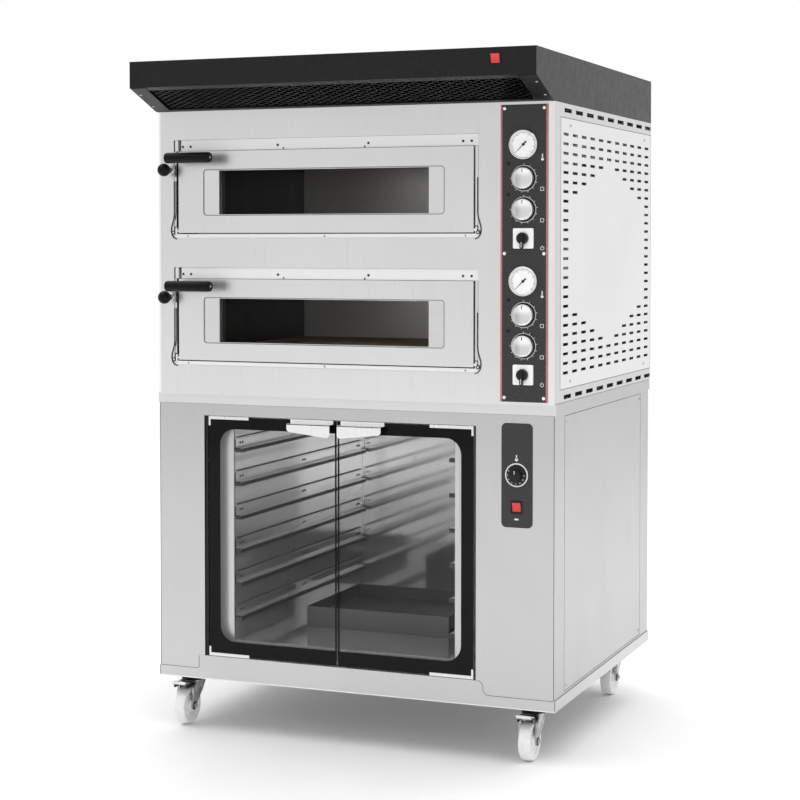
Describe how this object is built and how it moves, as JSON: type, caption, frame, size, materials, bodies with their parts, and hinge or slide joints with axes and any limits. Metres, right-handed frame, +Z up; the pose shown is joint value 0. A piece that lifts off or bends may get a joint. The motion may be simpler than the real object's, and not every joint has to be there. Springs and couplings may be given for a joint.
{
  "type": "deck oven",
  "caption": "Bakery deck oven with drop-down chamber doors and a control column, on a glass-door proofer cabinet with swivel casters, under a steam hood.",
  "frame": {"origin": "on the floor, under the centre of the overall box", "axes": "+X to the right seen from the front, +Y to the back, +Z up"},
  "size_m": [1.066, 1.052, 1.701],
  "materials": {
    "stainless": "fine brushed stainless sheet",
    "bright_steel": "bright satin steel",
    "dark_steel": "heat-darkened steel",
    "black_paint": "satin black powder coat",
    "black_plastic": "black moulded plastic",
    "white_nylon": "white moulded nylon",
    "red_plastic": "translucent red moulding",
    "striped_foil": "printed foil with slanted stripes",
    "tinted_glass": "clear toughened glass",
    "firebrick": "matt fired stone slab"
  },
  "bodies": {
    "frame": {"base_frame": "stainless", "proofer_casing": "stainless", "proofer_side_panel": "stainless", "proofer_front_frame": "stainless", "proofer_liner": "stainless", "water_tray": "stainless", "tray_wall_left": "stainless", "tray_wall_right": "stainless", "oven_casing": "stainless", "oven_vent_panel": "stainless", "oven_front_plate": "stainless", "proofer_heater": "dark_steel", "proofer_control_plate": "striped_foil", "oven_control_plate": "striped_foil", "control_chassis": "black_plastic", "hood_shell": "black_paint", "hood_grille": "black_paint", "chamber_upper": "dark_steel", "heater_upper": "dark_steel", "stone_upper": "firebrick", "gauge_case_upper": "bright_steel", "chamber_lower": "dark_steel", "heater_lower": "dark_steel", "stone_lower": "firebrick", "gauge_case_lower": "bright_steel"},
    "swivel_front_left": {"caster_fork_front_left": "bright_steel"},
    "wheel_front_left": {"caster_wheel_front_left": "white_nylon"},
    "brake_front_left": {"brake_pedal_front_left": "bright_steel"},
    "swivel_front_right": {"caster_fork_front_right": "bright_steel"},
    "wheel_front_right": {"caster_wheel_front_right": "white_nylon"},
    "brake_front_right": {"brake_pedal_front_right": "bright_steel"},
    "swivel_rear_left": {"caster_fork_rear_left": "bright_steel"},
    "wheel_rear_left": {"caster_wheel_rear_left": "white_nylon"},
    "swivel_rear_right": {"caster_fork_rear_right": "bright_steel"},
    "wheel_rear_right": {"caster_wheel_rear_right": "white_nylon"},
    "proofer_door_left": {"proofer_door_left": "tinted_glass", "proofer_hinge_left": "bright_steel", "proofer_pull_left": "bright_steel"},
    "proofer_door_right": {"proofer_door_right": "tinted_glass", "proofer_hinge_right": "bright_steel", "proofer_pull_right": "bright_steel"},
    "proofer_knob": {"proofer_knob": "black_plastic"},
    "proofer_switch": {"proofer_switch": "red_plastic"},
    "hood_switch": {"hood_switch": "red_plastic"},
    "deck_door_upper": {"deck_door_upper": "stainless", "door_glass_upper": "tinted_glass", "door_handle_upper": "black_plastic"},
    "vent_knob_upper": {"vent_knob_upper": "black_plastic"},
    "gauge_needle_upper": {"gauge_needle_upper": "black_plastic"},
    "cam_knob_upper": {"cam_knob_upper": "black_plastic"},
    "thermostat_knob_upper_1": {"thermostat_knob_upper_1": "bright_steel"},
    "thermostat_knob_upper_2": {"thermostat_knob_upper_2": "bright_steel"},
    "deck_door_lower": {"deck_door_lower": "stainless", "door_glass_lower": "tinted_glass", "door_handle_lower": "black_plastic"},
    "vent_knob_lower": {"vent_knob_lower": "black_plastic"},
    "gauge_needle_lower": {"gauge_needle_lower": "black_plastic"},
    "cam_knob_lower": {"cam_knob_lower": "black_plastic"},
    "thermostat_knob_lower_1": {"thermostat_knob_lower_1": "bright_steel"},
    "thermostat_knob_lower_2": {"thermostat_knob_lower_2": "bright_steel"}
  },
  "joints": [
    {"name": "swivel_front_left", "type": "hinge", "parent": "frame", "child": "swivel_front_left", "pos_m": [-0.483, -0.286, 0.12], "axis": [0, 0, 1], "continuous": true},
    {"name": "wheel_front_left", "type": "hinge", "parent": "swivel_front_left", "child": "wheel_front_left", "pos_m": [-0.483, -0.319, 0.0485], "axis": [1, 0, 0], "continuous": true},
    {"name": "brake_front_left", "type": "hinge", "parent": "swivel_front_left", "child": "brake_front_left", "pos_m": [-0.483, -0.324, 0.107], "axis": [1, 0, 0], "range_deg": [0, 15]},
    {"name": "swivel_front_right", "type": "hinge", "parent": "frame", "child": "swivel_front_right", "pos_m": [0.452, -0.286, 0.12], "axis": [0, 0, 1], "continuous": true},
    {"name": "wheel_front_right", "type": "hinge", "parent": "swivel_front_right", "child": "wheel_front_right", "pos_m": [0.452, -0.319, 0.0485], "axis": [1, 0, 0], "continuous": true},
    {"name": "brake_front_right", "type": "hinge", "parent": "swivel_front_right", "child": "brake_front_right", "pos_m": [0.452, -0.324, 0.107], "axis": [1, 0, 0], "range_deg": [0, 15]},
    {"name": "swivel_rear_left", "type": "hinge", "parent": "frame", "child": "swivel_rear_left", "pos_m": [-0.483, 0.432, 0.12], "axis": [0, 0, 1], "continuous": true},
    {"name": "wheel_rear_left", "type": "hinge", "parent": "swivel_rear_left", "child": "wheel_rear_left", "pos_m": [-0.483, 0.399, 0.0485], "axis": [1, 0, 0], "continuous": true},
    {"name": "swivel_rear_right", "type": "hinge", "parent": "frame", "child": "swivel_rear_right", "pos_m": [0.452, 0.432, 0.12], "axis": [0, 0, 1], "continuous": true},
    {"name": "wheel_rear_right", "type": "hinge", "parent": "swivel_rear_right", "child": "wheel_rear_right", "pos_m": [0.452, 0.399, 0.0485], "axis": [1, 0, 0], "continuous": true},
    {"name": "proofer_door_left", "type": "hinge", "parent": "frame", "child": "proofer_door_left", "pos_m": [-0.378, -0.367, 0.504], "axis": [0, 0, -1], "range_deg": [0, 100]},
    {"name": "proofer_door_right", "type": "hinge", "parent": "frame", "child": "proofer_door_right", "pos_m": [0.314, -0.367, 0.504], "axis": [0, 0, 1], "range_deg": [0, 100]},
    {"name": "proofer_knob", "type": "hinge", "parent": "frame", "child": "proofer_knob", "pos_m": [0.436, -0.374, 0.698], "axis": [0, 1, 0], "range_deg": [0, 300]},
    {"name": "proofer_switch", "type": "hinge", "parent": "frame", "child": "proofer_switch", "pos_m": [0.436, -0.3765, 0.621], "axis": [1, 0, 0], "range_deg": [-25.5, 0]},
    {"name": "hood_switch", "type": "hinge", "parent": "frame", "child": "hood_switch", "pos_m": [0.431, -0.5235, 1.675], "axis": [1, 0, 0], "range_deg": [-25.5, 0]},
    {"name": "deck_door_upper", "type": "hinge", "parent": "frame", "child": "deck_door_upper", "pos_m": [0, -0.382, 1.2825], "axis": [1, 0, 0], "range_deg": [0, 90]},
    {"name": "vent_knob_upper", "type": "slide", "parent": "frame", "child": "vent_knob_upper", "axis": [0, -1, 0], "range_m": [0, 0.03]},
    {"name": "gauge_needle_upper", "type": "hinge", "parent": "frame", "child": "gauge_needle_upper", "pos_m": [0.457, -0.387, 1.4835], "axis": [0, 1, 0], "range_deg": [0, 270], "stiffness_Nm_per_rad": 0.0005},
    {"name": "cam_knob_upper", "type": "hinge", "parent": "frame", "child": "cam_knob_upper", "pos_m": [0.457, -0.387, 1.262], "axis": [0, 1, 0], "range_deg": [0, 90]},
    {"name": "thermostat_knob_upper_1", "type": "hinge", "parent": "frame", "child": "thermostat_knob_upper_1", "pos_m": [0.457, -0.387, 1.404], "axis": [0, 1, 0], "range_deg": [0, 300]},
    {"name": "thermostat_knob_upper_2", "type": "hinge", "parent": "frame", "child": "thermostat_knob_upper_2", "pos_m": [0.457, -0.387, 1.33], "axis": [0, 1, 0], "range_deg": [0, 300]},
    {"name": "deck_door_lower", "type": "hinge", "parent": "frame", "child": "deck_door_lower", "pos_m": [0, -0.382, 0.9595], "axis": [1, 0, 0], "range_deg": [0, 90]},
    {"name": "vent_knob_lower", "type": "slide", "parent": "frame", "child": "vent_knob_lower", "axis": [0, -1, 0], "range_m": [0, 0.03]},
    {"name": "gauge_needle_lower", "type": "hinge", "parent": "frame", "child": "gauge_needle_lower", "pos_m": [0.457, -0.387, 1.1605], "axis": [0, 1, 0], "range_deg": [0, 270], "stiffness_Nm_per_rad": 0.0005},
    {"name": "cam_knob_lower", "type": "hinge", "parent": "frame", "child": "cam_knob_lower", "pos_m": [0.457, -0.387, 0.939], "axis": [0, 1, 0], "range_deg": [0, 90]},
    {"name": "thermostat_knob_lower_1", "type": "hinge", "parent": "frame", "child": "thermostat_knob_lower_1", "pos_m": [0.457, -0.387, 1.081], "axis": [0, 1, 0], "range_deg": [0, 300]},
    {"name": "thermostat_knob_lower_2", "type": "hinge", "parent": "frame", "child": "thermostat_knob_lower_2", "pos_m": [0.457, -0.387, 1.007], "axis": [0, 1, 0], "range_deg": [0, 300]}
  ]
}
